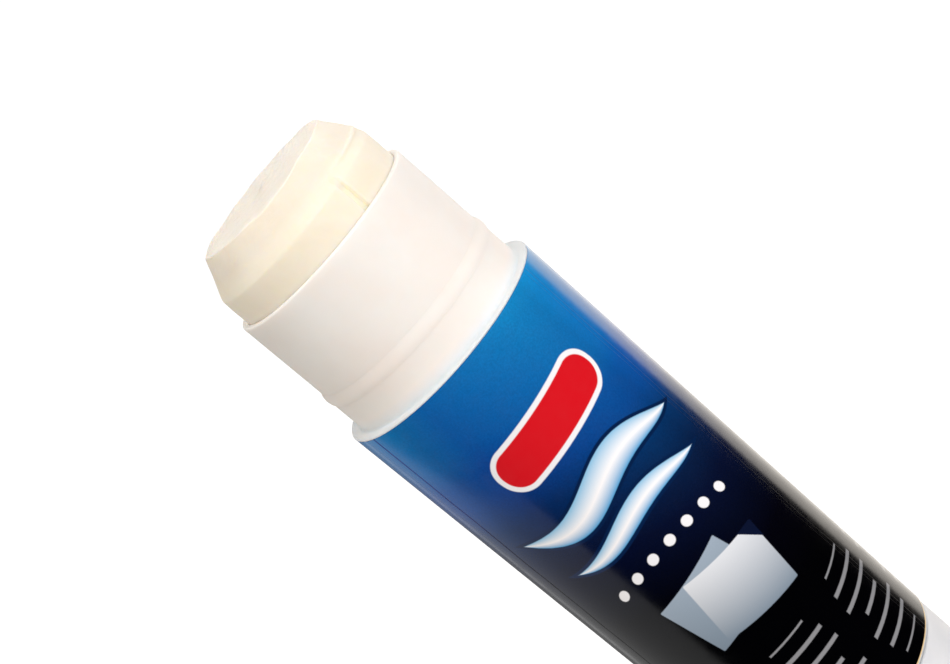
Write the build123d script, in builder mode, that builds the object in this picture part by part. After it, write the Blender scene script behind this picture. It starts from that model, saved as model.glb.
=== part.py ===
"""Twist-up glue stick, standing on its knob with the glue's used tip up.

The origin is the centre of the knob's underside, +Z runs up the stick, and -Y is the front. Sizes are in
millimetres. Turning the knob turns the lead screw, whose left-hand thread lifts the carrier and the glue. Two
ribs in the barrel's bore keep the carrier from turning with the screw.
"""

from build123d import *
import os

# Twist knob: a cup with a hub and webs inside, and grip flutes low on its wall
knob_height = 14.0
knob_inset = 0.12
knob_wall = 1.3
knob_floor = 1.2
knob_foot_width = 2.2
knob_recess_depth = 0.8
knob_foot_round = 0.7
knob_rim_round = 0.15
flute_count = 48
flute_radius = 0.6
flute_depth = 0.25
flute_bottom = 1.6
flute_length = 6.0
hub_radius = 4.9
web_count = 6
web_thickness = 1.0
web_drop = 0.8

# Barrel: tapered body, flat shoulder, and a straight neck with a low bead that holds the cap
body_radius = 13.0
body_draft = 0.48
body_wall = 2.1
barrel_gap = 0.3
barrel_floor = 1.6
barrel_foot_round = 0.1
shoulder_rise = 0.14
shoulder_round = 0.12
neck_rise = 15.88
neck_wall = 0.7
neck_step = 0.1
neck_root_round = 0.3
neck_rim_round = 0.2
bead_bottom_rise = 3.95
bead_height = 1.65
bead_proud = 0.18

# Label: a film in a shallow recess round the body, its edges meeting in a narrow seam at the back
label_length = 58.4
label_thickness = 0.08
label_clearance = 0.04
label_margin = 0.15
label_seam = 0.3

# Spigot under the barrel that the knob snaps on
spigot_length = 3.5
spigot_wall = 1.2
spigot_clearance = 0.2
spigot_chamfer = 0.3
snap_height = 0.3
snap_band = 0.5
snap_rise = 0.8

# Lead screw: square drive, journal, flange and a coarse left-hand thread
core_radius = 3.0
thread_pitch = 4.0
thread_height = 1.2
thread_root_width = 2.0
thread_crest_width = 1.0
thread_embed = 0.25
turns_below_nut = 2.5
screw_end_length = 0.3
screw_end_chamfer = 0.6
journal_radius = 3.6
journal_clearance = 0.06
boss_wall = 1.8
flange_radius = 6.0
flange_thickness = 1.2
flange_lift = 0.15
drive_side = 5.0
drive_length = 7.5

# Carrier: a cup round the glue's foot with the nut in its middle
carrier_height = 9.0
carrier_clearance = 0.13
carrier_floor = 1.6
carrier_stop_gap = 0.3
skirt_wall = 1.0
skirt_relief = 0.2
skirt_band = 1.5
undercut = 0.3
nut_height = 8.0
nut_radius = 6.2
nut_flank_clearance = 0.15
nut_crest_clearance = 0.2
nut_core_clearance = 0.25
nut_end_land = 0.1
anchor_count = 6
anchor_thickness = 0.8
anchor_height = 2.0

# Glue: a cast rod with a bevelled tip and a blind hole for the screw
glue_clearance = 0.1
glue_rise = 7.55
tip_edge_inset = 0.35
tip_face_inset = 2.08
tip_bevel_height = 3.08
tip_shoulder_height = 1.1
glue_hole_clearance = 0.4
glue_cap_thickness = 5.4

# Guide ribs in the bore, and the slots that run on them
rib_count = 2
rib_angle = -61.0
rib_width = 0.5
rib_height = 0.35
rib_embed = 0.3
rib_clearance = 0.1
rib_top_drop = 8.3

# Travel of the carrier, down and up from where it stands here
travel_down = 11.0
travel_up = 42.0

# One overrun for every cut that passes through a face
overrun = 1.0

# Radii, from the body inwards
body_foot_radius = body_radius - body_draft
bore_radius = body_radius - body_wall
glue_radius = bore_radius - glue_clearance
tip_edge_radius = glue_radius - tip_edge_inset
tip_face_radius = glue_radius - tip_face_inset
neck_radius = bore_radius + neck_wall
neck_root_radius = neck_radius + neck_step
bead_radius = neck_root_radius + bead_proud
label_recess = label_thickness + label_clearance
knob_radius = body_foot_radius - knob_inset
knob_recess_radius = knob_radius - knob_foot_width
knob_bore_radius = knob_radius - knob_wall
spigot_radius = knob_bore_radius - spigot_clearance
snap_radius = spigot_radius + snap_height
journal_bore_radius = journal_radius + journal_clearance
boss_radius = journal_bore_radius + boss_wall
thread_radius = core_radius + thread_height
nut_groove_radius = thread_radius + nut_crest_clearance
nut_core_radius = core_radius + nut_core_clearance
carrier_radius = bore_radius - carrier_clearance
cup_radius = carrier_radius - skirt_wall
glue_hole_radius = thread_radius + glue_hole_clearance
rib_crest_radius = bore_radius - rib_height
rib_slot_radius = rib_crest_radius - rib_clearance

# Levels, from the knob's foot up
knob_floor_top = knob_recess_depth + knob_floor
barrel_bottom = knob_height + barrel_gap
spigot_bottom = barrel_bottom - spigot_length
snap_bottom = spigot_bottom + snap_rise
snap_top = snap_bottom + 2 * snap_height + snap_band
hub_top = spigot_bottom - barrel_gap
floor_top = barrel_bottom + barrel_floor
label_bottom = barrel_bottom + label_margin
label_top = label_bottom + label_length + 2 * label_clearance
shoulder_level = label_top + shoulder_rise
bead_bottom = label_top + bead_bottom_rise
bead_top = bead_bottom + bead_height
rim_level = label_top + neck_rise
rib_top = rim_level - rib_top_drop
flange_bottom = floor_top + flange_lift
flange_top = flange_bottom + flange_thickness
carrier_bottom = flange_top + carrier_stop_gap + travel_down
carrier_top = carrier_bottom + carrier_height
cup_floor = carrier_bottom + carrier_floor
nut_top = carrier_bottom + nut_height
tip_level = rim_level + glue_rise
tip_edge_level = tip_level - tip_bevel_height
glue_hole_top = tip_level - glue_cap_thickness
slot_top = rib_top + travel_down + rib_clearance

# Thread: the nut's ridge fills the screw's groove less its clearance, so it starts half a pitch out of step. The
# screw's thread ends where the ridge ends at full lift.
thread_slope = (thread_root_width - thread_crest_width) / thread_height
ridge_root_width = thread_pitch - thread_crest_width - 2 * nut_flank_clearance + thread_slope * nut_crest_clearance
ridge_core_width = thread_pitch - thread_root_width - 2 * nut_flank_clearance + thread_slope * nut_core_clearance
ridge_embed_width = ridge_root_width + thread_slope * thread_embed
ridge_start = carrier_bottom + nut_end_land + ridge_embed_width / 2
ridge_length = nut_height - 2 * nut_end_land - ridge_embed_width
thread_start = ridge_start - turns_below_nut * thread_pitch
thread_length = ridge_start + ridge_length + travel_up - thread_start
thread_embed_width = thread_root_width + thread_slope * thread_embed
screw_top = thread_start + thread_length + thread_root_width / 2 + screw_end_length

os.makedirs("parts", exist_ok=True)


def thread_section(level, inner_radius, inner_width, outer_radius, outer_width):
    """Gives a thread's trapezoid in the XZ plane: two radii, the width along the axis at each, and its middle."""
    return [
        (inner_radius, level - inner_width / 2),
        (outer_radius, level - outer_width / 2),
        (outer_radius, level + outer_width / 2),
        (inner_radius, level + inner_width / 2),
    ]


# The cup's wall, from its mouth down to its floor, is also the outline of the glue cast in it
cup_outline = [
    (cup_radius - undercut, carrier_top),
    (cup_radius - undercut, carrier_top - undercut),
    (cup_radius, carrier_top - 2 * undercut),
    (cup_radius, cup_floor),
    (nut_radius, cup_floor),
    (nut_radius, nut_top),
]

with BuildPart() as twist_knob:
    with BuildSketch(Plane.XZ):
        with BuildLine():
            Polyline(
                (0, knob_recess_depth),
                (knob_recess_radius, knob_recess_depth),
                (knob_recess_radius, 0),
                (knob_radius, 0),
                (knob_radius, knob_height),
                (knob_bore_radius, knob_height),
                (knob_bore_radius, snap_top + spigot_clearance),
                (knob_bore_radius + snap_height, snap_top + spigot_clearance - snap_height),
                (knob_bore_radius + snap_height, snap_bottom - spigot_clearance + snap_height),
                (knob_bore_radius, snap_bottom - spigot_clearance),
                (knob_bore_radius, knob_floor_top),
                (0, knob_floor_top),
                close=True,
            )
        make_face()
    revolve(axis=Axis.Z)
    outer_edges = twist_knob.faces().filter_by(GeomType.CYLINDER).sort_by(SortBy.AREA)[-1].edges()
    foot_edge = outer_edges.filter_by(GeomType.CIRCLE).sort_by(Axis.Z)[0]
    rim_edge = outer_edges.filter_by(GeomType.CIRCLE).sort_by(Axis.Z)[-1]
    fillet(foot_edge, radius=knob_foot_round)
    fillet(rim_edge, radius=knob_rim_round)
    with BuildSketch(Plane.XY.offset(flute_bottom)):
        with PolarLocations(radius=knob_radius + flute_radius - flute_depth, count=flute_count):
            Circle(flute_radius)
    extrude(amount=flute_length, mode=Mode.SUBTRACT)
    with BuildSketch(Plane.XY.offset(knob_floor_top)):
        Circle(hub_radius)
    extrude(amount=hub_top - knob_floor_top)
    with BuildSketch(Plane.XY.offset(knob_floor_top)):
        with PolarLocations(radius=(hub_radius + knob_bore_radius) / 2, count=web_count):
            Rectangle(knob_bore_radius - hub_radius + web_thickness, web_thickness)
    extrude(amount=spigot_bottom - web_drop - knob_floor_top)
    with BuildSketch(Plane.XY.offset(hub_top - drive_length)):
        Rectangle(drive_side, drive_side)
    extrude(amount=drive_length, mode=Mode.SUBTRACT)

with BuildPart() as barrel:
    with BuildSketch(Plane.XZ):
        with BuildLine():
            lower_outline = Polyline(
                (spigot_radius - spigot_wall, spigot_bottom),
                (spigot_radius - spigot_chamfer, spigot_bottom),
                (spigot_radius, spigot_bottom + spigot_chamfer),
                (spigot_radius, snap_bottom),
                (snap_radius, snap_bottom + snap_height),
                (snap_radius, snap_top - snap_height),
                (spigot_radius, snap_top),
                (spigot_radius, barrel_bottom),
                (body_foot_radius, barrel_bottom),
                (body_foot_radius, label_bottom),
                (body_foot_radius - label_recess, label_bottom),
                (body_radius - label_recess, label_top),
                (body_radius, label_top),
                (body_radius, shoulder_level),
                (neck_root_radius, shoulder_level),
                (neck_root_radius, bead_bottom),
            )
            bead = ThreePointArc(
                lower_outline @ 1,
                (bead_radius, bead_bottom + bead_height / 2),
                (neck_radius, bead_top),
            )
            Polyline(
                bead @ 1,
                (neck_radius, rim_level),
                (bore_radius, rim_level),
                (bore_radius, floor_top),
                (journal_bore_radius, floor_top),
                (journal_bore_radius, spigot_bottom),
                (boss_radius, spigot_bottom),
                (boss_radius, barrel_bottom),
                (spigot_radius - spigot_wall, barrel_bottom),
                lower_outline @ 0,
            )
        make_face()
    revolve(axis=Axis.Z)
    fillet(barrel.edges().group_by(Axis.Z)[-1], radius=neck_rim_round)
    shoulder_edges = barrel.edges().filter_by_position(Axis.Z, shoulder_level, shoulder_level)
    fillet(shoulder_edges.sort_by(SortBy.RADIUS)[-1], radius=shoulder_round)
    shoulder_edges = barrel.edges().filter_by_position(Axis.Z, shoulder_level, shoulder_level)
    fillet(shoulder_edges.sort_by(SortBy.RADIUS)[0], radius=neck_root_round)
    foot_edges = barrel.edges().filter_by_position(Axis.Z, barrel_bottom, barrel_bottom)
    fillet(foot_edges.sort_by(SortBy.RADIUS)[-1], radius=barrel_foot_round)
    with BuildSketch(Plane.XY.offset(floor_top)):
        rib_middle_radius = bore_radius + (rib_embed - rib_height) / 2
        with PolarLocations(radius=rib_middle_radius, count=rib_count, start_angle=rib_angle):
            Rectangle(rib_height + rib_embed, rib_width)
    extrude(amount=rib_top - floor_top)

with BuildPart() as label_film:
    with BuildSketch(Plane.XZ):
        with BuildLine():
            Polyline(
                (body_foot_radius - label_thickness, label_bottom + label_clearance),
                (body_foot_radius, label_bottom + label_clearance),
                (body_radius, label_top - label_clearance),
                (body_radius - label_thickness, label_top - label_clearance),
                close=True,
            )
        make_face()
    revolve(axis=Axis.Z)
    with BuildSketch(Plane.XY.offset(label_bottom)):
        with Locations((0, body_radius)):
            Rectangle(label_seam, body_radius)
    extrude(amount=label_top - label_bottom, mode=Mode.SUBTRACT)

with BuildPart() as lead_screw:
    with BuildSketch(Plane.XZ):
        with BuildLine():
            Polyline(
                (0, hub_top),
                (journal_radius, hub_top),
                (journal_radius, flange_bottom),
                (flange_radius, flange_bottom),
                (flange_radius, flange_top),
                (core_radius, flange_top),
                (core_radius, screw_top - screw_end_chamfer),
                (core_radius - screw_end_chamfer, screw_top),
                (0, screw_top),
                close=True,
            )
        make_face()
    revolve(axis=Axis.Z)
    with BuildSketch(Plane.XY.offset(hub_top - drive_length)):
        Rectangle(drive_side, drive_side)
    extrude(amount=drive_length)
    with BuildLine() as screw_helix:
        Helix(thread_pitch, thread_length, core_radius, center=(0, 0, thread_start), lefthand=True)
    with BuildSketch(Plane.XZ):
        with BuildLine():
            Polyline(
                *thread_section(
                    thread_start,
                    core_radius - thread_embed,
                    thread_embed_width,
                    thread_radius,
                    thread_crest_width,
                ),
                close=True,
            )
        make_face()
    sweep(path=screw_helix.line, is_frenet=True)

with BuildPart() as carrier:
    with BuildSketch(Plane.XZ):
        with BuildLine():
            Polyline(
                *cup_outline,
                (nut_groove_radius, nut_top),
                (nut_groove_radius, carrier_bottom),
                (carrier_radius, carrier_bottom),
                (carrier_radius, carrier_bottom + skirt_band),
                (carrier_radius - skirt_relief, carrier_bottom + skirt_band + skirt_relief),
                (carrier_radius - skirt_relief, carrier_top - skirt_band - skirt_relief),
                (carrier_radius, carrier_top - skirt_band),
                (carrier_radius, carrier_top),
                close=True,
            )
        make_face()
    revolve(axis=Axis.Z)
    with BuildLine() as nut_helix:
        Helix(thread_pitch, ridge_length, nut_groove_radius, center=(0, 0, ridge_start), lefthand=True)
    with BuildSketch(Plane.XZ):
        with BuildLine():
            Polyline(
                *thread_section(
                    ridge_start,
                    nut_core_radius,
                    ridge_core_width,
                    nut_groove_radius + thread_embed,
                    ridge_embed_width,
                ),
                close=True,
            )
        make_face()
    sweep(path=nut_helix.line, is_frenet=True)
    with BuildSketch(Plane.XY.offset(cup_floor)) as anchors:
        with PolarLocations(radius=(nut_radius + cup_radius) / 2, count=anchor_count):
            Rectangle(cup_radius - nut_radius + undercut, anchor_thickness)
    extrude(amount=anchor_height)
    with BuildSketch(Plane.XY.offset(carrier_bottom)):
        with PolarLocations(radius=rib_slot_radius + overrun / 2, count=rib_count, start_angle=rib_angle):
            Rectangle(overrun, rib_width + 2 * rib_clearance)
    extrude(amount=carrier_height, mode=Mode.SUBTRACT)

with BuildPart() as glue:
    with BuildSketch(Plane.XZ):
        with BuildLine():
            lower_outline = Polyline(
                (0, glue_hole_top),
                (glue_hole_radius, glue_hole_top),
                (glue_hole_radius, nut_top),
                *reversed(cup_outline),
                (glue_radius, carrier_top),
                (glue_radius, tip_edge_level - tip_shoulder_height),
            )
            tip_shoulder = TangentArc(
                lower_outline @ 1,
                (tip_edge_radius, tip_edge_level),
                tangent=(0, 1),
            )
            Polyline(
                tip_shoulder @ 1,
                (tip_face_radius, tip_level),
                (0, tip_level),
                lower_outline @ 0,
            )
        make_face()
    revolve(axis=Axis.Z)
    with BuildSketch(Plane.XY.offset(cup_floor)):
        with PolarLocations(radius=(nut_radius + cup_radius) / 2, count=anchor_count):
            Rectangle(cup_radius - nut_radius + undercut, anchor_thickness)
    extrude(amount=anchor_height, mode=Mode.SUBTRACT)
    with BuildSketch(Plane.XY.offset(carrier_top)):
        with PolarLocations(radius=rib_slot_radius + overrun / 2, count=rib_count, start_angle=rib_angle):
            Rectangle(overrun, rib_width + 2 * rib_clearance)
    extrude(amount=slot_top - carrier_top, mode=Mode.SUBTRACT)

twist_knob.part.label = "twist_knob"
barrel.part.label = "barrel"
label_film.part.label = "label_film"
lead_screw.part.label = "lead_screw"
carrier.part.label = "carrier"
glue.part.label = "glue"

export_step(twist_knob.part, "parts/twist_knob.step")
export_step(barrel.part, "parts/barrel.step")
export_step(label_film.part, "parts/label_film.step")
export_step(lead_screw.part, "parts/lead_screw.step")
export_step(carrier.part, "parts/carrier.step")
export_step(glue.part, "parts/glue.step")
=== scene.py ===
"""Looks of a twist-up glue stick: moulded barrel and knob, printed gloss film and cast glue.

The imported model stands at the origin, +Z up, its front facing -Y. Lengths are in millimetres, and become
metres where they are used. Round the stick, an angle counts from the front (-Y) towards +X.
"""

import math

import bpy
import numpy as np
from mathutils import Matrix, Vector


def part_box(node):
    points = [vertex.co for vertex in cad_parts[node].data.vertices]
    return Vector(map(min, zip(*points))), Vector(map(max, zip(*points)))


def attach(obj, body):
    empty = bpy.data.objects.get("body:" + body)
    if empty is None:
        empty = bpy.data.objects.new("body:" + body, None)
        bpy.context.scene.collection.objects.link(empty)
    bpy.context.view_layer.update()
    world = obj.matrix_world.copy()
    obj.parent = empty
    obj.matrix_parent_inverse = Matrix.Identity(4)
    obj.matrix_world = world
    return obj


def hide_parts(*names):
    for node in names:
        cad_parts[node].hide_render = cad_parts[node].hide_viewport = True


MM = 0.001

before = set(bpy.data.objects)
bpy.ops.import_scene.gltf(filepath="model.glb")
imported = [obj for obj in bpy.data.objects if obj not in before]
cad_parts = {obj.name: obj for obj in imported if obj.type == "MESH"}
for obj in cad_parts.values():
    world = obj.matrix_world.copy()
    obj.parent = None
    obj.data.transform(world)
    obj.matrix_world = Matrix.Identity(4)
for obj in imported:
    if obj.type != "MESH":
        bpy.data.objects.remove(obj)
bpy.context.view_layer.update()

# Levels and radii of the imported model
BODY_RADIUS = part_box("barrel")[1].x / MM
RIM_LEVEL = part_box("barrel")[1].z / MM
FILM_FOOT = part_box("label_film")[0].z / MM
FILM_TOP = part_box("label_film")[1].z / MM
CARRIER_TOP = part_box("carrier")[1].z / MM
GLUE_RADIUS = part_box("glue")[1].x / MM
TIP_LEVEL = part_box("glue")[1].z / MM

# Glue tip: insets from the glue's side, heights of its bevel and the shoulder below, and the bevel's edge
TIP_EDGE_INSET = 0.35
TIP_FACE_INSET = 2.08
TIP_BEVEL_HEIGHT = 3.08
TIP_SHOULDER_HEIGHT = 1.1
EDGE_LEVEL = TIP_LEVEL - TIP_BEVEL_HEIGHT


def linear(colour):
    """Turns an sRGB hex colour into the linear RGBA that a shader socket takes."""
    parts = np.array([int(colour[i : i + 2], 16) for i in (1, 3, 5)]) / 255
    return (*np.where(parts <= 0.04045, parts / 12.92, ((parts + 0.055) / 1.055) ** 2.4), 1.0)


def add(tree, kind, sources=(), stops=(), **settings):
    """Adds one shader node. Settings are its own properties. Sources fill its inputs in order, or by name,
    with numbers, hex colours, other nodes (their first output) or sockets. A MapRange node's are its value,
    the two ends that it comes from and the two that it goes to. Stops are a ramp's places and colours."""
    node = tree.nodes.new("ShaderNode" + kind)
    for name, value in settings.items():
        setattr(node, name, value)
    for key, value in sources.items() if isinstance(sources, dict) else enumerate(sources):
        if isinstance(value, bpy.types.Node):
            value = value.outputs[0]
        if isinstance(value, bpy.types.NodeSocket):
            tree.links.new(value, node.inputs[key])
        elif value is not None:
            node.inputs[key].default_value = linear(value) if isinstance(value, str) else value
    if stops:
        ramp = node.color_ramp.elements
        ramp[0].position, ramp[1].position = stops[0][0], stops[-1][0]
        for place, _ in stops[1:-1]:
            ramp.new(place)
        for element, (_, colour) in zip(ramp, stops):
            element.color = linear(colour)
    return node


def material(name):
    """Starts an empty material: its tree, and its point in millimetres as a vector node. A noise read at
    that point has as many waves to the millimetre as its Scale says."""
    made = bpy.data.materials.new(name)
    made.use_nodes = True
    tree = made.node_tree
    tree.nodes.clear()
    metres = add(tree, "TexCoord").outputs["Object"]
    return made, tree, add(tree, "VectorMath", (metres, (1 / MM,) * 3), operation="MULTIPLY")


def from_axis(tree, place):
    """How a point lies from the stick's axis: its level offset from the axis, and that offset's length."""
    offset = add(tree, "VectorMath", (place, (1.0, 1.0, 0.0)), operation="MULTIPLY")
    return offset, add(tree, "VectorMath", (offset,), operation="LENGTH").outputs["Value"]


def beyond(tree, offset, half):
    """How far an offset to either side goes beyond a half width: its size less the half width."""
    size = add(tree, "Math", (offset,), operation="ABSOLUTE")
    return add(tree, "Math", (size, half), operation="SUBTRACT")


# Neck: levels where its thin wall begins and is plain to see, and a radius between its bore and its outside
THIN_START = FILM_TOP + 0.25
THIN_FULL = FILM_TOP + 1.6
OUTER_WALL = 11.4

# Bead: its level, how far from there its shading is eased at all and in full, and by what share
BEAD_LEVEL = RIM_LEVEL - 11.01
BEAD_REACH = 1.6
BEAD_CORE = 1.1
BEAD_EASE = 0.7


def eased_bead(tree, place, height):
    """The normal of the neck. Its bead is a soft swelling, so there the surface's own normal leans back
    towards that of a plain round wall, which points straight away from the axis."""
    normal = add(tree, "TexCoord").outputs["Normal"]
    offset, radius = from_axis(tree, place)
    outside = add(tree, "Math", (radius, OUTER_WALL), operation="GREATER_THAN")
    rise = add(tree, "Math", (height, BEAD_LEVEL), operation="SUBTRACT")
    beside = add(tree, "Math", (rise,), operation="ABSOLUTE")
    swell = add(tree, "MapRange", (beside, BEAD_REACH, BEAD_CORE, 0.0, BEAD_EASE))
    lean = add(tree, "Math", (swell, outside), operation="MULTIPLY")
    share = add(tree, "CombineXYZ", (lean, lean, lean))
    outward = add(tree, "VectorMath", (offset,), operation="NORMALIZE")
    change = add(tree, "VectorMath", (outward, normal), operation="SUBTRACT")
    eased = add(tree, "VectorMath", (change, share, normal), operation="MULTIPLY_ADD")
    spaces = {"vector_type": "NORMAL", "convert_from": "OBJECT", "convert_to": "WORLD"}
    return add(tree, "VectorTransform", (eased,), **spaces)


# Polypropylene, injection moulded and satin: a soft waxy white that light goes into and comes out of again.
# The neck is thin, and the cream glue behind it warms its white. Very fine grain breaks the highlights.
def moulded_white():
    made, tree, place = material("polypropylene_moulded_white")
    height = add(tree, "SeparateXYZ", (place,)).outputs["Z"]
    thin = add(tree, "MapRange", (height, THIN_START, THIN_FULL, 0.0, 1.0))
    # Its white varies in clouds 6 mm wide
    cloud = add(tree, "TexNoise", {"Vector": place, "Scale": 0.16, "Detail": 3.0, "Roughness": 0.5})
    body = add(tree, "ValToRGB", (cloud,), stops=((0.3, "#E2E9EB"), (0.7, "#EAF0F1")))
    neck = add(tree, "ValToRGB", (cloud,), stops=((0.3, "#F9EEE6"), (0.7, "#FDF4ED")))
    colour = add(tree, "MixRGB", (thin, body, neck))
    # Mould polish draws faint lines along the stick: 0.5 mm apart and 8 mm long
    drawn = add(tree, "VectorMath", (place, (2.0, 2.0, 0.12)), operation="MULTIPLY")
    polish = add(tree, "TexNoise", {"Vector": drawn, "Scale": 1.0, "Detail": 2.0})
    # The mould's grain is about 0.05 mm; drawn at 0.2 mm so that it shows
    grain = add(tree, "TexNoise", {"Vector": place, "Scale": 5.0, "Detail": 2.0})
    rough = add(tree, "MapRange", (polish, 0.3, 0.7, 0.36, 0.46))
    relief = add(tree, "Math", (polish, 0.5, grain), operation="MULTIPLY_ADD")
    facing = eased_bead(tree, place, height)
    bump = add(tree, "Bump", {"Strength": 0.12, "Distance": 0.02 * MM, "Height": relief, "Normal": facing})
    skin = add(
        tree,
        "BsdfPrincipled",
        {
            "Base Color": colour,
            "Roughness": rough,
            "IOR": 1.49,
            "Specular IOR Level": 0.3,
            "Subsurface Weight": 0.9,
            "Subsurface Radius": (0.8, 0.7, 0.63),
            "Subsurface Scale": MM,
            "Normal": bump,
        },
    )
    add(tree, "OutputMaterial", {"Surface": skin})
    return made


# Polypropylene, injection moulded in a cool pale grey, with a spark-eroded grain on its grip
def moulded_grey():
    made, tree, place = material("polypropylene_moulded_grey")
    # Its grey varies in clouds 5 mm wide
    cloud = add(tree, "TexNoise", {"Vector": place, "Scale": 0.2, "Detail": 3.0})
    colour = add(tree, "ValToRGB", (cloud,), stops=((0.3, "#DFE3E6"), (0.7, "#E9ECEE")))
    # The eroded grain is about 0.1 mm; drawn at 0.25 mm so that it shows
    grain = add(tree, "TexNoise", {"Vector": place, "Scale": 4.0, "Detail": 3.0})
    rough = add(tree, "MapRange", (grain, 0.3, 0.7, 0.38, 0.5))
    bump = add(tree, "Bump", {"Strength": 0.2, "Distance": 0.03 * MM, "Height": grain})
    skin = add(
        tree,
        "BsdfPrincipled",
        {
            "Base Color": colour,
            "Roughness": rough,
            "IOR": 1.49,
            "Subsurface Weight": 0.2,
            "Subsurface Radius": (1.2, 1.1, 1.0),
            "Subsurface Scale": MM,
            "Normal": bump,
        },
    )
    add(tree, "OutputMaterial", {"Surface": skin})
    return made


# Polypropylene, injection moulded and left plain where it is hidden: white, with the swirl of its flow
def moulded_inner():
    made, tree, place = material("polypropylene_moulded_inner")
    # Its swirls are 3 mm wide
    swirl = add(tree, "TexNoise", {"Vector": place, "Scale": 0.35, "Detail": 4.0, "Distortion": 1.5})
    colour = add(tree, "ValToRGB", (swirl,), stops=((0.3, "#E6E8E8"), (0.7, "#F3F4F4")))
    rough = add(tree, "MapRange", (swirl, 0.3, 0.7, 0.35, 0.5))
    bump = add(tree, "Bump", {"Strength": 0.15, "Distance": 0.03 * MM, "Height": swirl})
    finish = {"Base Color": colour, "Roughness": rough, "IOR": 1.49, "Normal": bump}
    add(tree, "OutputMaterial", {"Surface": add(tree, "BsdfPrincipled", finish)})
    return made


# Marks of use on the glue: levels where they begin and are full, how far up a surface has to face to be
# rubbed, and the radii and levels where the slots are given painted shade, clearer and yellower
USED_START = EDGE_LEVEL - 0.4
USED_FULL = TIP_LEVEL - 2.2
RUBBED_START = 0.55
RUBBED_FULL = 0.95
SLOT_SHADE_START = GLUE_RADIUS - 0.05
SLOT_SHADE_FULL = GLUE_RADIUS - 0.25
SLOT_SHADE_TOP = TIP_LEVEL - 4.4
SLOT_SHADE_BELOW = TIP_LEVEL - 4.9


def glue_colour(tree, place, height, used, rubbed):
    """Cream below the tip, greyer up over the bevel, and whiter on the rubbed end face. The slots are
    painted clearer and yellower: painted shade, as it gathers in the cloudy glue within them."""
    # The gel varies in clouds 4.5 mm wide
    cloud = add(tree, "TexNoise", {"Vector": place, "Scale": 0.22, "Detail": 4.0, "Distortion": 0.6})
    cream = add(tree, "ValToRGB", (cloud,), stops=((0.3, "#F1EAD7"), (0.7, "#F5EFDF")))
    end_face_white = add(tree, "ValToRGB", (cloud,), stops=((0.3, "#F8ECDE"), (0.7, "#FAF0E4")))
    bevel_grey = add(tree, "ValToRGB", (cloud,), stops=((0.3, "#E9E1D0"), (0.7, "#EDE7D9")))
    colour = add(tree, "MixRGB", (used, cream, bevel_grey))
    colour = add(tree, "MixRGB", (rubbed, colour, end_face_white))
    # Painted shade: the lower parts of the slots are tinted clearer and yellower
    _, radius = from_axis(tree, place)
    slot_shade = add(tree, "MapRange", (radius, SLOT_SHADE_START, SLOT_SHADE_FULL, 0.0, 1.0))
    below = add(tree, "MapRange", (height, SLOT_SHADE_TOP, SLOT_SHADE_BELOW, 0.0, 1.0))
    slot_shade = add(tree, "Math", (slot_shade, below), operation="MULTIPLY")
    return add(tree, "MixRGB", (slot_shade, colour, "#FCF4DC"))


# Glue, a soap gel cast as a rod: cream, waxy and cloudy, so light spreads inside it and edges glow. Rubbing
# on paper leaves smears on its end face and tiny pits on its bevel.
def cast_glue():
    made, tree, place = material("glue_cast_soap_gel")
    height = add(tree, "SeparateXYZ", (place,)).outputs["Z"]
    upright = add(tree, "SeparateXYZ", (add(tree, "TexCoord").outputs["Normal"],)).outputs["Z"]
    used = add(tree, "MapRange", (height, USED_START, USED_FULL, 0.0, 1.0))
    rubbed = add(tree, "MapRange", (upright, RUBBED_START, RUBBED_FULL, 0.0, 1.0))
    colour = glue_colour(tree, place, height, used, rubbed)
    # Smears run across the tip from side to side, 0.9 mm apart and 5 mm long
    drawn = add(tree, "VectorMath", (place, (0.2, 1.1, 1.0)), operation="MULTIPLY")
    smear = add(tree, "TexNoise", {"Vector": drawn, "Scale": 1.0, "Detail": 3.0, "Distortion": 0.8})
    streak = add(tree, "MapRange", (smear, 0.5, 0.66, 0.0, 0.7))
    streak = add(tree, "Math", (streak, rubbed), operation="MULTIPLY")
    colour = add(tree, "MixRGB", (streak, colour, "#FDF3E9"))
    # Pits are 0.8 mm wide, and smears and pits together are deepest on the end face
    pits = add(tree, "TexNoise", {"Vector": place, "Scale": 1.3, "Detail": 5.0, "Roughness": 0.6})
    worn = add(tree, "Math", (pits, 0.5, smear), operation="MULTIPLY_ADD")
    depth = add(tree, "Math", (rubbed, 0.7, 0.3), operation="MULTIPLY_ADD")
    worn = add(tree, "Math", (worn, depth), operation="MULTIPLY")
    worn = add(tree, "Math", (worn, used), operation="MULTIPLY")
    # Under them the cast surface has faint ripples 1.2 mm wide
    fine = add(tree, "TexNoise", {"Vector": place, "Scale": 0.8, "Detail": 3.0})
    relief = add(tree, "Math", (fine, 0.15, worn), operation="MULTIPLY_ADD")
    bump = add(tree, "Bump", {"Strength": 0.8, "Distance": 0.3 * MM, "Height": relief})
    rough = add(tree, "MapRange", (smear, 0.3, 0.7, 0.4, 0.55))
    skin = add(
        tree,
        "BsdfPrincipled",
        {
            "Base Color": colour,
            "Roughness": rough,
            "IOR": 1.45,
            "Specular IOR Level": 0.25,
            "Subsurface Weight": 1.0,
            "Subsurface Radius": (1.2, 1.0, 0.7),
            "Subsurface Scale": MM,
            "Normal": bump,
        },
    )
    add(tree, "OutputMaterial", {"Surface": skin})
    return made


# Ink of the film: its colour at each depth below the film's top
BLEND_LENGTH = 60.0
INK_BLEND = (
    (0.0, "#0E84C2"),
    (2.0, "#0C79B9"),
    (6.0, "#0A6EB1"),
    (10.0, "#0864A9"),
    (13.0, "#04509B"),
    (16.0, "#05468E"),
    (20.0, "#023062"),
    (24.0, "#061E44"),
    (28.0, "#060F2D"),
    (32.0, "#04091E"),
    (36.0, "#03030C"),
    (42.0, "#020204"),
)
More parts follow.
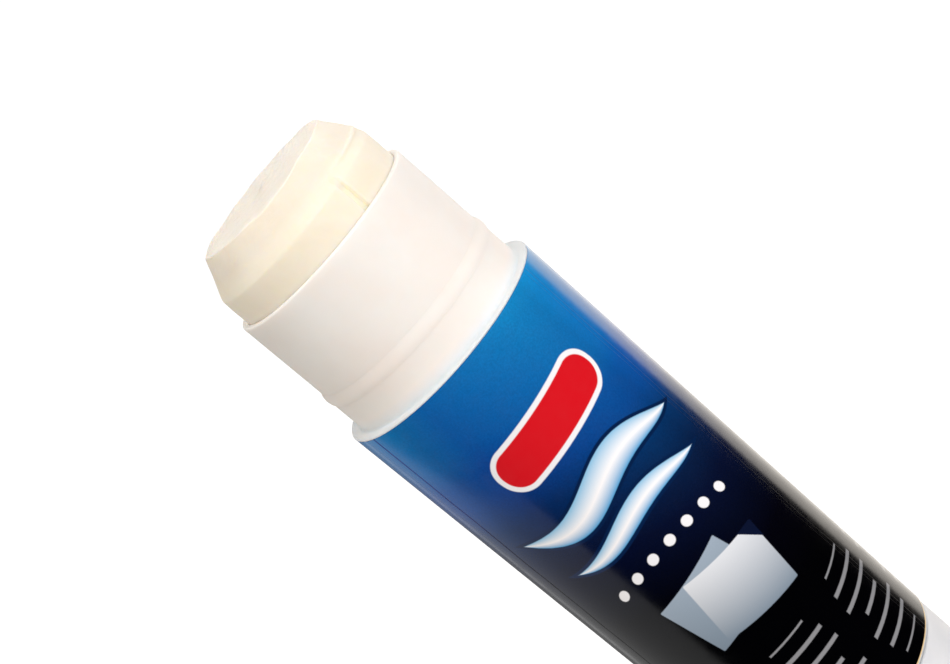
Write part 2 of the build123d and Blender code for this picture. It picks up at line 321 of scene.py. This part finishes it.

# Painted shade and light across the stick, from one place to another and from one value to another: how
# much sooner the blend comes as painted shade, how far along the painted shade deepens, and factors for
# the painted light at its sides and for the painted shade at its far right
INK_PAINTED_SHADE_LEAN = (-5.5, 6.0, -4.0, 0.0)
INK_PAINTED_SHADE_SPAN = (-10.0, 6.0, 0.0, 1.0)
INK_PAINTED_LIGHT_SIDES = (9.0, 10.6, 1.0, 1.28)
INK_PAINTED_SHADE_RIGHT = (11.3, 11.9, 1.0, 0.78)


def film_ink_with_painted_shade(tree, place, across, up):
    """The ink's blend from blue to black, with painted shade and light across it. As painted shade, the blend
    comes up to 4 mm sooner towards the stick's left, and is deepest half way there. As painted light, it
    runs lighter towards both sides of the front, and painted shade makes that less so at the far right."""
    # Painted shade: the blend comes sooner towards the stick's left
    painted_lean = add(tree, "MapRange", (across, *INK_PAINTED_SHADE_LEAN))
    leaning = add(tree, "Math", (up, painted_lean), operation="ADD")
    depth = add(tree, "MapRange", (leaning, 0.0, -BLEND_LENGTH, 0.0, 1.0))
    ink = add(tree, "ValToRGB", (depth,), stops=[(down / BLEND_LENGTH, colour) for down, colour in INK_BLEND])
    # Painted shade deepest half way to the left, painted light at both sides, painted shade at the far right
    shade_span = add(tree, "MapRange", (across, *INK_PAINTED_SHADE_SPAN))
    painted_shade = add(tree, "ValToRGB", (shade_span,), stops=((0.0, "#FFFFFF"), (0.26, "#B0DAF4"), (1.0, "#FFFFFF")))
    painted_light = add(tree, "MapRange", (add(tree, "Math", (across,), operation="ABSOLUTE"), *INK_PAINTED_LIGHT_SIDES))
    painted_dimming = add(tree, "MapRange", (across, *INK_PAINTED_SHADE_RIGHT))
    # Ink lies a little unevenly: specks 0.2 mm wide, coarser than the print's real screen so that they show
    specks = add(tree, "TexNoise", {"Vector": place, "Scale": 5.0, "Detail": 2.0})
    density = add(tree, "MapRange", (specks, 0.3, 0.7, 0.9, 1.1))
    for factor in (painted_shade, painted_light, painted_dimming, density):
        ink = add(tree, "VectorMath", (ink, factor), operation="MULTIPLY")
    return ink


# Places on the film are distances round it from its front and up from its top edge. A motif's reach is how
# far a point lies outside it, and its painted edge is softened by this much each way.
EDGE_SOFT = 0.06


def painted(tree, under, reach, colour, grow=0.0, soft=EDGE_SOFT):
    """Lays a colour over what is under it wherever the reach is below the given growth."""
    cover = add(tree, "MapRange", (reach, grow + soft, grow - soft, 0.0, 1.0))
    return add(tree, "MixRGB", (cover, under, colour))


def bar_reach(tree, point, middle, half, tilt, corner):
    """How far a point of the film lies outside a tilted bar with round corners, in millimetres: the length
    of what its offsets exceed the bar's half sides by, less the corner's radius. Also gives the offsets."""
    placing = {"Vector": point, "Location": (*middle, 0.0), "Rotation": (0, 0, math.radians(tilt))}
    turned = add(tree, "Mapping", placing, vector_type="TEXTURE")
    offset = add(tree, "VectorMath", (turned,), operation="ABSOLUTE")
    sides = (half[0] - corner, half[1] - corner, 1.0)
    excess = add(tree, "VectorMath", (offset, sides), operation="SUBTRACT")
    excess = add(tree, "VectorMath", (excess, (0.0, 0.0, 0.0)), operation="MAXIMUM")
    length = add(tree, "VectorMath", (excess,), operation="LENGTH").outputs["Value"]
    return add(tree, "Math", (length, corner), operation="SUBTRACT"), turned


# Bar: its middle, half sides, tilt in degrees, corner radius and the width of its edge
BAR_MIDDLE = (1.2, -10.6)
BAR_HALF = (7.6, 2.2)
BAR_TILT = 6.0
BAR_CORNER = 2.1
BAR_EDGE = 0.55


def red_bar(tree, under, point):
    """A blank red bar with a white edge."""
    reach, _ = bar_reach(tree, point, BAR_MIDDLE, BAR_HALF, BAR_TILT, BAR_CORNER)
    under = painted(tree, under, reach, "#F4F6F8", grow=BAR_EDGE)
    return painted(tree, under, reach, "#D8121F")


# Ribbons: level, swing, phase, half width and half length of each. Then how many radians of wave to the
# millimetre, and the width of their edge.
RIBBONS = ((-18.6, 1.1, 0.4, 1.9, 11.5), (-23.4, 0.9, 0.9, 1.25, 9.5))
RIBBON_WAVE = 0.33
RIBBON_EDGE = 0.4


def wave_ribbons(tree, under, around, up):
    """Two wave ribbons, white to light blue, with a dark edge. A ribbon thins to a point at both ends: its
    middle line is a sine, and its half width falls with the square of the way along."""
    square = add(tree, "Math", (around, around), operation="MULTIPLY")
    for middle, swing, phase, half, length in RIBBONS:
        turn = add(tree, "Math", (around, RIBBON_WAVE, phase), operation="MULTIPLY_ADD")
        wave = add(tree, "Math", (turn,), operation="SINE")
        line = add(tree, "Math", (wave, swing, middle), operation="MULTIPLY_ADD")
        off = add(tree, "Math", (up, line), operation="SUBTRACT")
        width = add(tree, "Math", (square, -half / length**2, half), operation="MULTIPLY_ADD")
        reach = beyond(tree, off, width)
        share = add(tree, "Math", (off, width), operation="DIVIDE")
        blend = add(tree, "MapRange", (share, -1.0, 1.0, 0.0, 1.0))
        fill = add(tree, "ValToRGB", (blend,), stops=((0.0, "#4FA4D8"), (0.45, "#FFFFFF"), (1.0, "#8CC6E8")))
        under = painted(tree, under, reach, "#03204A", grow=RIBBON_EDGE)
        under = painted(tree, under, reach, fill)
    return under


# Dots: half their spacing, their radius, the row's level, how it bows down to its ends, and half its length
DOT_HALF_SPACING = 1.3
DOT_RADIUS = 0.62
DOT_LEVEL = -27.6
DOT_BOW = -0.02
DOT_ROW_HALF = 9.1


def dot_row(tree, under, around, up):
    """A row of white dots on a shallow arc: its level falls with the square of the way along."""
    cell = add(tree, "Math", (around, DOT_HALF_SPACING, -DOT_HALF_SPACING), operation="WRAP")
    square = add(tree, "Math", (around, around), operation="MULTIPLY")
    row = add(tree, "Math", (square, DOT_BOW, DOT_LEVEL), operation="MULTIPLY_ADD")
    offset = add(tree, "CombineXYZ", (cell, add(tree, "Math", (up, row), operation="SUBTRACT")))
    length = add(tree, "VectorMath", (offset,), operation="LENGTH").outputs["Value"]
    dot = add(tree, "Math", (length, DOT_RADIUS), operation="SUBTRACT")
    reach = add(tree, "Math", (dot, beyond(tree, around, DOT_ROW_HALF)), operation="MAXIMUM")
    return painted(tree, under, reach, "#F6F8FA")


# Sheets: middle, tilt and lighter end of each. Then their half sides and corner radius, half the length of
# their blend, the sum of both offsets at the front sheet's fold, and how far its dark corner grows.
SHEETS = (((-1.0, -35.6), 11.0, "#9FB0BF"), ((1.6, -36.6), -8.0, "#E4E9ED"))
SHEET_HALF = (5.0, 3.9)
SHEET_CORNER = 0.15
SHEET_BLEND = 4.0
FOLD_REACH = 6.9
FOLD_GROW = 0.12


def paper_sheets(tree, under, point):
    """Two plain sheets of paper. The front one is laid last, and ink shows where its corner is folded."""
    for middle, tilt, light in SHEETS:
        reach, offsets = bar_reach(tree, point, middle, SHEET_HALF, tilt, SHEET_CORNER)
        parts = add(tree, "SeparateXYZ", (offsets,))
        tone = add(tree, "MapRange", (parts.outputs["Y"], -SHEET_BLEND, SHEET_BLEND, 0.0, 1.0))
        fill = add(tree, "ValToRGB", (tone,), stops=((0.0, "#7E8F9E"), (1.0, light)))
        under = painted(tree, under, reach, fill)
    along = add(tree, "Math", (parts.outputs["X"], parts.outputs["Y"]), operation="ADD")
    short = add(tree, "Math", (FOLD_REACH, along), operation="SUBTRACT")
    corner = add(tree, "Math", (short, reach), operation="MAXIMUM")
    return painted(tree, under, corner, "#0A1430", grow=FOLD_GROW)


# Rules: half their spacing and thickness, half the spacing of their columns, half their length and how it
# varies from rule to rule, and the middle and half height of the block that they fill
RULE_HALF_SPACING = 1.05
RULE_HALF_THICKNESS = 0.24
COLUMN_HALF_SPACING = 5.2
RULE_HALF_LENGTH = 3.3
RULE_VARIATION = 0.9
RULE_VARIATION_WAVE = 1.9
RULES_LEVEL = -50.4
RULES_HALF_HEIGHT = 6.3


def grey_rules(tree, under, around, up):
    """Plain grey rules in columns, low on the film. Their length varies with a sine of their level."""
    line = add(tree, "Math", (up, RULE_HALF_SPACING, -RULE_HALF_SPACING), operation="WRAP")
    column = add(tree, "Math", (around, COLUMN_HALF_SPACING, -COLUMN_HALF_SPACING), operation="WRAP")
    level = add(tree, "Math", (up, line), operation="SUBTRACT")
    turn = add(tree, "Math", (level, RULE_VARIATION_WAVE), operation="MULTIPLY")
    wave = add(tree, "Math", (turn,), operation="SINE")
    half = add(tree, "Math", (wave, RULE_VARIATION, RULE_HALF_LENGTH), operation="MULTIPLY_ADD")
    block = add(tree, "Math", (up, RULES_LEVEL), operation="SUBTRACT")
    reach = beyond(tree, column, half)
    for offset, limit in ((line, RULE_HALF_THICKNESS), (block, RULES_HALF_HEIGHT)):
        reach = add(tree, "Math", (reach, beyond(tree, offset, limit)), operation="MAXIMUM")
    return painted(tree, under, reach, "#8D8F92")


# Bare foot of the film: its height, and the softness of its edge
BARE_FOOT = 0.14
BARE_FOOT_SOFT = 0.03

# Painted reflection edges, fine lines down the film that tint it darker: angle, half width and tint of each,
# a deep one and three faint ones. Then how far they waver, and the softness of their edges.
REFLECTION_EDGES = (
    (-61.0, 0.12, "#4C80C8"),
    (57.0, 0.06, "#C4D0DC"),
    (54.0, 0.05, "#D4DCE4"),
    (-68.0, 0.05, "#D4DCE4"),
)
REFLECTION_EDGE_SWAY = 0.5
REFLECTION_EDGE_SOFT = 0.05


def film_reflection_edges(tree, under, around, up):
    """Fine dark lines are painted down the film where the edges of its reflections fall, and waver a
    little every 8 mm. Gives the tinted colour, and how much of a line covers a point, which also roughens it."""
    sway = add(tree, "TexNoise", {"Vector": add(tree, "CombineXYZ", (up,)), "Scale": 0.12, "Detail": 1.0})
    centred = add(tree, "Math", (around, REFLECTION_EDGE_SWAY / 2), operation="SUBTRACT")
    wander = add(tree, "Math", (sway, REFLECTION_EDGE_SWAY, centred), operation="MULTIPLY_ADD")
    on_reflection_edge = 0.0
    for degrees, half, tint in REFLECTION_EDGES:
        side = add(tree, "Math", (wander, math.radians(degrees) * BODY_RADIUS), operation="SUBTRACT")
        near = beyond(tree, side, half)
        cover = add(tree, "MapRange", (near, REFLECTION_EDGE_SOFT, -REFLECTION_EDGE_SOFT, 0.0, 1.0))
        # Painted shade of a reflection's edge, multiplied into the colour
        under = add(tree, "MixRGB", (cover, under, tint), blend_type="MULTIPLY")
        on_reflection_edge = add(tree, "Math", (cover, half, on_reflection_edge), operation="MULTIPLY_ADD")
    return under, on_reflection_edge


# Polypropylene film, printed and glossy, wrapped round the barrel: deep ink from blue to black under a
# clear shine, with plain motifs, and a bare cream edge at its foot
def printed_film():
    made, tree, place = material("film_printed_gloss")
    axes = add(tree, "SeparateXYZ", (place,))
    forward = add(tree, "Math", (axes.outputs["Y"], -1.0), operation="MULTIPLY")
    turn = add(tree, "Math", (axes.outputs["X"], forward), operation="ARCTAN2")
    around = add(tree, "Math", (turn, BODY_RADIUS), operation="MULTIPLY")
    up = add(tree, "Math", (axes.outputs["Z"], FILM_TOP), operation="SUBTRACT")
    point = add(tree, "CombineXYZ", (around, up))

    colour = film_ink_with_painted_shade(tree, place, axes.outputs["X"], up)
    colour = red_bar(tree, colour, point)
    colour = wave_ribbons(tree, colour, around, up)
    colour = dot_row(tree, colour, around, up)
    colour = paper_sheets(tree, colour, point)
    colour = grey_rules(tree, colour, around, up)
    foot = add(tree, "Math", (up, FILM_TOP - FILM_FOOT - BARE_FOOT), operation="ADD")
    colour = painted(tree, colour, foot, "#F0D3A0", soft=BARE_FOOT_SOFT)
    # Painted reflection edges: fine dark lines down the film, a little rougher there too
    colour, on_reflection_edge = film_reflection_edges(tree, colour, around, up)

    # The film isn't quite flat: ripples 4 mm wide bend its reflections. Rubbing dulls it in 1.4 mm patches.
    ripple = add(tree, "TexNoise", {"Vector": place, "Scale": 0.25, "Detail": 1.0})
    bump = add(tree, "Bump", {"Strength": 0.25, "Distance": 0.05 * MM, "Height": ripple})
    scuff = add(tree, "TexNoise", {"Vector": place, "Scale": 0.7, "Detail": 5.0, "Roughness": 0.65})
    rough = add(tree, "MapRange", (scuff, 0.35, 0.75, 0.15, 0.24))
    rough = add(tree, "Math", (on_reflection_edge, 3.0, rough), operation="MULTIPLY_ADD")
    finish = {"Base Color": colour, "Roughness": rough, "IOR": 1.5, "Normal": bump}
    add(tree, "OutputMaterial", {"Surface": add(tree, "BsdfPrincipled", finish)})
    return made


def grid_mesh(name, points, ends):
    """Makes a closed mesh of rings: points is rings x columns x 3, each ring closed on itself, and the two
    ends are the pole points before the first and after the last ring."""
    rings, columns = points.shape[:2]
    index = np.arange(rings * columns).reshape(rings, columns)
    beside = np.roll(index, -1, axis=1)
    quads = np.stack([index[:-1], index[1:], beside[1:], beside[:-1]], axis=-1).reshape(-1, 4)
    first, last = rings * columns, rings * columns + 1
    top = np.stack([np.full(columns, first), index[0], beside[0]], axis=-1)
    bottom = np.stack([np.full(columns, last), beside[-1], index[-1]], axis=-1)
    vertices = np.concatenate([points.reshape(-1, 3), ends]) * MM
    mesh = bpy.data.meshes.new(name)
    mesh.from_pydata(vertices.tolist(), [], quads.tolist() + top.tolist() + bottom.tolist())
    mesh.polygons.foreach_set("use_smooth", np.ones(len(mesh.polygons), bool))
    mesh.update()
    piece = bpy.data.objects.new(name, mesh)
    bpy.context.scene.collection.objects.link(piece)
    return piece


# Glue's side: it swells a little as it stands, so that it almost touches the bore
SWELL = 0.085
SIDE_RADIUS = GLUE_RADIUS + SWELL

# Rings of the glue by their way along its outline from the axis: first, last and number of each band, and
# the number down the side. The outline starts past the axis, and is averaged this far each way.
RING_BANDS = ((0.4, 7.6, 18), (7.6, 14.4, 62), (14.4, 18.4, 22))
SIDE_RINGS = 50
PAST_AXIS = 2.0
CORNER_BLUR = 0.16
BLUR_SAMPLES = 9

# Columns of the glue: degrees from one to the next, and from a slot's middle to those that draw the slot
COLUMN_STEP = 1.25
SLOT_COLUMNS = (-2.5, -2.2, -2.0, -1.9, -1.8, -1.7, -1.5, -0.7, 0.0, 0.8, 1.5, 1.7, 1.9, 2.2, 2.6, 3.1)

# Wear of the tip: how far it leans and over what height that fades, the depth and the spread in degrees of
# the dip at its front, and what it has lost all round
LEAN = 0.3
LEAN_FADE = 2.5
DIP_DEPTH = 0.42
DIP_SPREAD = 28.0
ROUND_LOSS = 0.08

# Burr on the bevel's edge: its middle and spread in degrees, and how proud, how high up and how wide it is
BURR_ANGLE = 66.0
BURR_SPREAD = 24.0
BURR_PROUD = 0.2
BURR_RISE = 0.05
BURR_WIDTH = 0.16

# Waves round the side and the bevel: height, times round the stick, radians to the millimetre up, phase
SIDE_WAVES = ((0.035, 3, 0.9, 1.0), (0.025, 7, -1.7, 0.0))
BEVEL_WAVES = ((0.02, 13, 2.3, 2.0),)

# Waves over the end face: height, radians to the millimetre forwards and across, and the phase across
FACE_WAVE_HEIGHT = 0.03
FACE_WAVE_FORWARD = 1.1
FACE_WAVE_ACROSS = 1.7
FACE_WAVE_PHASE = 1.0

# Slots: middles in degrees, half width and depth. Then the widths of the steep left wall and of the slope
# on the right, how far that goes past the slot, how far below the bevel's edge a slot starts, and the
# height over which it deepens.
SLOT_ANGLES = (29.0, 209.0)
SLOT_HALF_WIDTH = 0.35
SLOT_DEPTH = 0.37
SLOT_WALL = 0.03
SLOT_SLOPE = 0.22
SLOT_SLOPE_PAST = 0.2
SLOT_START = 0.1
SLOT_FADE = 1.73

# Foot of the glue in the carrier's cup: the radii of the cup's mouth, of its undercut and round its nut,
# then the levels of the mouth, of the undercut, of the foot and of the nut's top
MOUTH_RADIUS = 9.47
UNDERCUT_RADIUS = 9.7
NUT_RADIUS = 6.3
MOUTH_LEVEL = CARRIER_TOP + 0.05
UNDERCUT_TOP = CARRIER_TOP - 0.35
UNDERCUT_FOOT = CARRIER_TOP - 0.65
FOOT_LEVEL = CARRIER_TOP - 5.2
NUT_LEVEL = CARRIER_TOP - 0.95

# Blind hole for the screw: its radius, its end, and a ring part of the way up it
HOLE_RADIUS = 4.6
HOLE_TOP = TIP_LEVEL - 5.4
HOLE_RING = HOLE_TOP - 30.0


def glue_outline():
    """Radius and level of each ring of the glue's skin. Straight runs lead from the tip's middle over the
    end face, the bevel and the shoulder, and down the side to the carrier. Each ring takes the mean of the
    outline over a third of a millimetre, which rounds its corners."""
    corners = np.array(
        [
            (-PAST_AXIS, TIP_LEVEL),
            (GLUE_RADIUS - TIP_FACE_INSET, TIP_LEVEL),
            (GLUE_RADIUS - TIP_EDGE_INSET, EDGE_LEVEL),
            (SIDE_RADIUS, EDGE_LEVEL - TIP_SHOULDER_HEIGHT),
            (SIDE_RADIUS, CARRIER_TOP),
        ]
    )
    runs = np.linalg.norm(np.diff(corners, axis=0), axis=1)
    along = np.concatenate([[0.0], np.cumsum(runs)]) - PAST_AXIS
    bands = [np.linspace(first, last, count, endpoint=False) for first, last, count in RING_BANDS]
    ways = np.concatenate([*bands, np.linspace(RING_BANDS[-1][1], along[-1], SIDE_RINGS)])
    blur = ways[:, None] + np.linspace(-CORNER_BLUR, CORNER_BLUR, BLUR_SAMPLES)
    radius = np.interp(blur, along, corners[:, 0]).mean(1)
    level = np.interp(blur, along, corners[:, 1]).mean(1)
    radius[-1], level[-1] = SIDE_RADIUS, MOUTH_LEVEL
    return radius, level


def waves_round(waves, angle, z):
    """Sum of sines, each of so many turns round the stick plus a share of the level, plus its phase."""
    return sum(height * np.sin(times * angle + rate * z + phase) for height, times, rate, phase in waves)


def worn_tip(angle, r, z):
    """Wears the glue at each angle, radius and level. A sine of the angle tilts the tip. A bell curve of
    the angle, times the cube of the radius, dips its front. Low sums of sines make its radius uneven, and a
    burr adds a bell curve of both angle and level. Two crossing sines, summed, ripple the end face."""
    # How far up the bevel a point is, from 0 at its edge to 1 on the end face, and how far up to that edge
    high = np.clip((z - EDGE_LEVEL) / TIP_BEVEL_HEIGHT, 0.0, 1.0)
    shoulder = np.clip((z - EDGE_LEVEL + LEAN_FADE) / LEAN_FADE, 0.0, 1.0)
    away = (angle + math.pi) % (2 * math.pi) - math.pi
    outward = np.clip(r / (GLUE_RADIUS - TIP_FACE_INSET), 0.0, 1.0)
    dip = DIP_DEPTH * np.exp(-((away / math.radians(DIP_SPREAD)) ** 2)) * high * outward**3
    lean = LEAN * np.sin(angle) * shoulder
    waves = waves_round(SIDE_WAVES, angle, z) + waves_round(BEVEL_WAVES, angle, z) * high
    r = r * (1.0 + (waves - ROUND_LOSS) / GLUE_RADIUS * shoulder)
    beside_burr = (np.degrees(away) - BURR_ANGLE) / BURR_SPREAD
    above_burr = (z - EDGE_LEVEL - BURR_RISE) / BURR_WIDTH
    r = r + BURR_PROUD * np.exp(-(beside_burr**2)) * np.exp(-(above_burr**2))
    forward = np.sin(FACE_WAVE_FORWARD * r * np.cos(angle))
    across = np.sin(FACE_WAVE_ACROSS * r * np.sin(angle) + FACE_WAVE_PHASE)
    z = z + lean - dip + FACE_WAVE_HEIGHT * high * (forward + across)
    return r, z


def slotted(angle, r, z):
    """Cuts the slots into the glue's side: full depth over their width, a steep wall on the left and a
    slope on the right, fading in below the bevel's edge."""
    fade = np.clip((EDGE_LEVEL - SLOT_START - z) / SLOT_FADE, 0.0, 1.0)
    for middle in SLOT_ANGLES:
        degrees = (np.degrees(angle) - middle + 180.0) % 360.0 - 180.0
        aside = np.radians(degrees) * GLUE_RADIUS
        left = np.clip((aside + SLOT_HALF_WIDTH + SLOT_WALL) / SLOT_WALL, 0.0, 1.0)
        right = np.clip((SLOT_HALF_WIDTH + SLOT_SLOPE_PAST - aside) / SLOT_SLOPE, 0.0, 1.0)
        r = r - SLOT_DEPTH * left * right * fade
    return r


def worn_glue():
    """The glue rod as rings round the axis: the worn and slotted skin from the tip's middle down to the
    carrier, then round the foot in the carrier's cup and up the blind hole."""
    radius, level = glue_outline()
    base = np.arange(0.0, 360.0, COLUMN_STEP)
    extra = [(middle + np.array(SLOT_COLUMNS)) % 360 for middle in SLOT_ANGLES]
    turn = np.radians(np.unique(np.concatenate([base, *extra])))
    angle, ring = np.meshgrid(turn, np.arange(len(radius)))
    r, z = worn_tip(angle, radius[ring], level[ring])
    r = slotted(angle, r, z)
    skin = np.stack([r * np.sin(angle), -r * np.cos(angle), z], axis=-1)
    cup = np.array(
        [
            (MOUTH_RADIUS, MOUTH_LEVEL),
            (MOUTH_RADIUS, UNDERCUT_TOP),
            (UNDERCUT_RADIUS, UNDERCUT_FOOT),
            (UNDERCUT_RADIUS, FOOT_LEVEL),
            (NUT_RADIUS, FOOT_LEVEL),
            (NUT_RADIUS, NUT_LEVEL),
            (HOLE_RADIUS, NUT_LEVEL),
            (HOLE_RADIUS, HOLE_RING),
            (HOLE_RADIUS, HOLE_TOP),
        ]
    )
    out, up = cup[:, :1], cup[:, 1:]
    foot = np.stack([out * np.sin(turn), -out * np.cos(turn), up * np.ones(len(turn))], axis=-1)
    ends = np.array([(0.0, 0.0, skin[0, :, 2].mean()), (0.0, 0.0, HOLE_TOP)])
    return grid_mesh("glue_rod", np.concatenate([skin, foot]), ends)


def dress(node, made):
    """Gives a CAD node a better material through its object's slots."""
    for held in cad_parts[node].material_slots:
        held.material = made


glue = worn_glue()
glue.data.materials.append(cast_glue())
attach(glue, "rod")
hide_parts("glue")

inner = moulded_inner()
dress("barrel", moulded_white())
dress("label_film", printed_film())
dress("twist_knob", moulded_grey())
dress("carrier", inner)
dress("lead_screw", inner)


def softbox(name, spot, target, size, glow, colour="#FFFFFF", spin=0.0, **shows):
    """A rectangular light at a spot, facing a target and turned in its own plane by spin degrees. Its power
    is pi times its area times its glow, which is its radiance. What it shows are the rays that see it."""
    data = bpy.data.lights.new(name, "AREA")
    data.shape = "RECTANGLE"
    data.size, data.size_y = size[0] * MM, size[1] * MM
    data.energy = math.pi * data.size * data.size_y * glow
    data.color = linear(colour)[:3]
    light = bpy.data.objects.new(name, data)
    bpy.context.scene.collection.objects.link(light)
    facing = (Vector(target) - Vector(spot)).to_track_quat("-Z", "Y").to_matrix().to_4x4()
    turned = facing @ Matrix.Rotation(math.radians(spin), 4, "Z")
    light.matrix_world = Matrix.Translation(Vector(spot) * MM) @ turned
    light.visible_camera = False
    for ray, seen in shows.items():
        setattr(light, "visible_" + ray, seen)


def about(azimuth, elevation, distance, target):
    """The spot at a distance from a target, in the direction of an azimuth and an elevation."""
    a, e = math.radians(azimuth), math.radians(elevation)
    direction = Vector((math.sin(a) * math.cos(e), -math.cos(a) * math.cos(e), math.sin(e)))
    return Vector(target) + distance * direction


# Broad lights shape the white parts and stay out of the film's gloss. Each has its azimuth, elevation,
# side, glow and colour.
TIP = (0.0, 0.0, 75.0)
LIGHT_DISTANCE = 700
for name, azimuth, elevation, side, glow, colour in (
    ("key", 32, 11, 300, 9.6, "#F8F6FC"),
    ("top_light", 0, 80, 400, 3.9, "#FFFFFF"),
    ("left_light", -130, -5, 300, 2.4, "#FFFFFF"),
):
    spot = about(azimuth, elevation, LIGHT_DISTANCE, TIP)
    softbox(name, spot, TIP, (side, side), glow, colour, glossy=False)

# Cards behind the stick, low because the camera looks down, give the film its bright right edge and its
# thin white rims. Each has its azimuth, width, glow and colour.
LOW = (0.0, 0.0, 20.0)
CARD_DISTANCE = 420
CARD_ELEVATION = -8
CARD_HEIGHT = 620
for name, azimuth, width, glow, colour in (
    ("right_card", 156, 460, 1.35, "#FFF8EF"),
    ("back_card", -166, 380, 0.22, "#FFFFFF"),
):
    spot = about(azimuth, CARD_ELEVATION, CARD_DISTANCE, LOW)
    softbox(name, spot, LOW, (width, CARD_HEIGHT), glow, colour, diffuse=False)

# Two cards that overlap in one upright plane at the left give the film its grey left side: how far back
# each is, and how wide
LEFT_CARD_ASIDE = -150
LEFT_CARD_LEVEL = -120
LEFT_CARD_HEIGHT = 300
LEFT_CARD_GLOW = 0.5
LEFT_CARD_SPIN = -10.5
for name, back, width in (("left_card", 82, 320), ("left_card_bright", 100, 200)):
    spot, target = (LEFT_CARD_ASIDE, back, LEFT_CARD_LEVEL), (0, back, LEFT_CARD_LEVEL)
    size = (width, LEFT_CARD_HEIGHT)
    softbox(name, spot, target, size, LEFT_CARD_GLOW, spin=LEFT_CARD_SPIN, diffuse=False)

# Floor and world: half the floor's width, and how bright the floor, the backdrop and the even light are
FLOOR_HALF = 6000.0
FLOOR_GLOW = 0.92
BACKDROP_GLOW = 1.05
EVEN_GLOW = 0.6


def pale_floor():
    """A flat square, bright enough to fall off to white. No reflection shows it, so the film stays deep."""
    mesh = bpy.data.meshes.new("floor")
    half = FLOOR_HALF * MM
    corners = [(-half, -half, 0), (half, -half, 0), (half, half, 0), (-half, half, 0)]
    mesh.from_pydata(corners, [], [(0, 1, 2, 3)])
    piece = bpy.data.objects.new("floor", mesh)
    bpy.context.scene.collection.objects.link(piece)
    paper = bpy.data.materials.new("floor_paper")
    paper.use_nodes = True
    tree = paper.node_tree
    tree.nodes.clear()
    sheet = add(tree, "BsdfDiffuse", ("#8A8A8A",))
    seen = add(tree, "LightPath").outputs["Is Camera Ray"]
    strength = add(tree, "Math", (seen, FLOOR_GLOW), operation="MULTIPLY")
    shine = add(tree, "Emission", ("#FFFFFF", strength))
    add(tree, "OutputMaterial", {"Surface": add(tree, "AddShader", (sheet, shine))})
    mesh.materials.append(paper)
    piece.visible_glossy = False
    piece.visible_diffuse = False
    piece.visible_shadow = False
    return piece


def studio_world():
    """White behind everything, a softer even light on the object, and nothing of it in the reflections."""
    world = bpy.data.worlds.new("studio")
    bpy.context.scene.world = world
    world.use_nodes = True
    tree = world.node_tree
    tree.nodes.clear()
    path = add(tree, "LightPath")
    even = add(tree, "Math", (path.outputs["Is Glossy Ray"], -EVEN_GLOW, EVEN_GLOW), operation="MULTIPLY_ADD")
    soft = add(tree, "Background", ("#FFF6EF", even))
    plain = add(tree, "Background", ("#FFFFFF", BACKDROP_GLOW))
    shown = add(tree, "MixShader", (path.outputs["Is Camera Ray"], soft, plain))
    add(tree, "OutputWorld", {"Surface": shown})


floor = pale_floor()
studio_world()

# Camera: its lens and sensor, its elevation and roll, and how far from the middle of the film's top it
# stands, along its own right, up and back
LENS = 71.30
SENSOR_WIDTH = 36.0
CLIP_START = 10.0
ELEVATION = math.radians(14.677)
ROLL = math.radians(49.315)
ASIDE, ABOVE, BEHIND = 3.661, 0.819, 189.25


def aim_camera():
    """Stands the camera in front of the stick and above it, rolled so that the stick lies aslant."""
    level_up = Vector((0.0, math.sin(ELEVATION), math.cos(ELEVATION)))
    level_right = Vector((1.0, 0.0, 0.0))
    right = math.cos(ROLL) * level_right - math.sin(ROLL) * level_up
    upward = math.sin(ROLL) * level_right + math.cos(ROLL) * level_up
    backward = Vector((0.0, -math.cos(ELEVATION), math.sin(ELEVATION)))
    data = bpy.data.cameras.new("camera")
    data.lens = LENS
    data.sensor_width = SENSOR_WIDTH
    data.clip_start = CLIP_START * MM
    camera = bpy.data.objects.new("camera", data)
    bpy.context.scene.collection.objects.link(camera)
    eye = Vector((0.0, 0.0, FILM_TOP)) + ASIDE * right + ABOVE * upward + BEHIND * backward
    turned = Matrix((right, upward, backward)).transposed().to_4x4()
    camera.matrix_world = Matrix.Translation(eye * MM) @ turned
    bpy.context.scene.camera = camera


aim_camera()
bpy.context.scene.view_settings.view_transform = "Standard"
